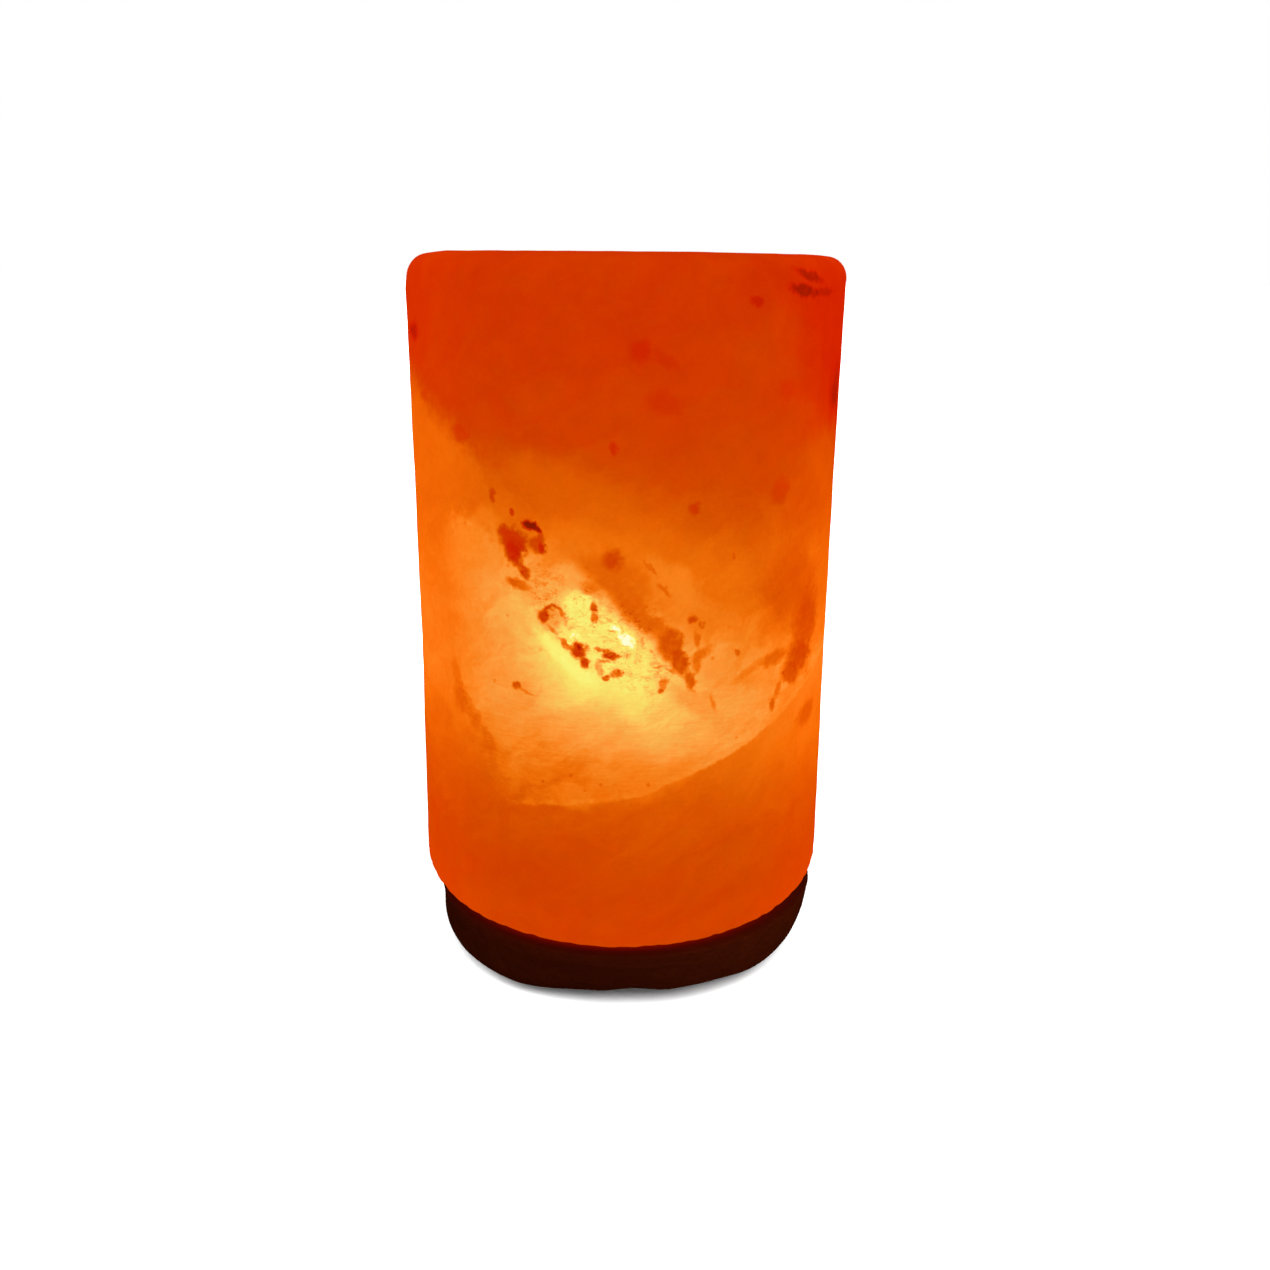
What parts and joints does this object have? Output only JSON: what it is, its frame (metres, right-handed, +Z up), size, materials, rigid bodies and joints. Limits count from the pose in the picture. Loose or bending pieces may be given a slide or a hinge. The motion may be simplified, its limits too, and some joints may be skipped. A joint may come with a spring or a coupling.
{
  "type": "salt crystal lamp",
  "caption": "Turned rock salt block on a round wooden base, lit from inside by a small bulb in a sprung holder that pulls out from below.",
  "frame": {"origin": "middle of the underside of the feet, on the lamp's axis", "axes": "+Z up along the lamp's axis, -Y is the front, the cord groove leaves towards +Y at the back, +X is to the right seen from the front"},
  "size_m": [0.1, 0.0999, 0.1702],
  "materials": {
    "salt": "matte",
    "dark_wood": "satin",
    "pad_rubber": "matte",
    "zinc_steel": "satin",
    "nylon": "satin",
    "holder_plastic": "satin",
    "block_ceramic": "gloss",
    "brass": "satin",
    "spring_steel": "polished",
    "bulb_clear_glass": "polished",
    "nickel": "satin",
    "cap_glass": "gloss",
    "tungsten": "matte"
  },
  "bodies": {
    "lamp_body": {"salt_block": "salt", "wood_base": "dark_wood", "foot_pads": "pad_rubber", "base_screws": "zinc_steel", "screw_plugs": "nylon"},
    "holder": {"holder_cap": "holder_plastic", "holder_barrel": "holder_plastic", "contact_block": "block_ceramic", "screw_shell": "brass", "centre_contact": "brass", "side_contact": "brass", "block_rivets": "brass", "terminal_blocks": "brass", "terminal_screws": "zinc_steel", "spring_clip": "spring_steel", "ring_nut": "holder_plastic"},
    "bulb": {"bulb_glass": "bulb_clear_glass", "bulb_stem": "bulb_clear_glass", "lead_wires": "nickel", "support_wires": "nickel", "filament": "tungsten", "bulb_cap": "nickel", "cap_insulator": "cap_glass", "cap_contact": "nickel"}
  },
  "joints": [
    {"name": "lift_off", "type": "slide", "parent": "holder", "child": "lamp_body", "axis": [0, 0, 1], "range_m": [0, 0.09]},
    {"name": "bulb_turn", "type": "hinge", "parent": "holder", "child": "bulb", "pos_m": [0, 0, 0.06], "axis": [0, 0, 1], "range_deg": [0, 1620]}
  ]
}
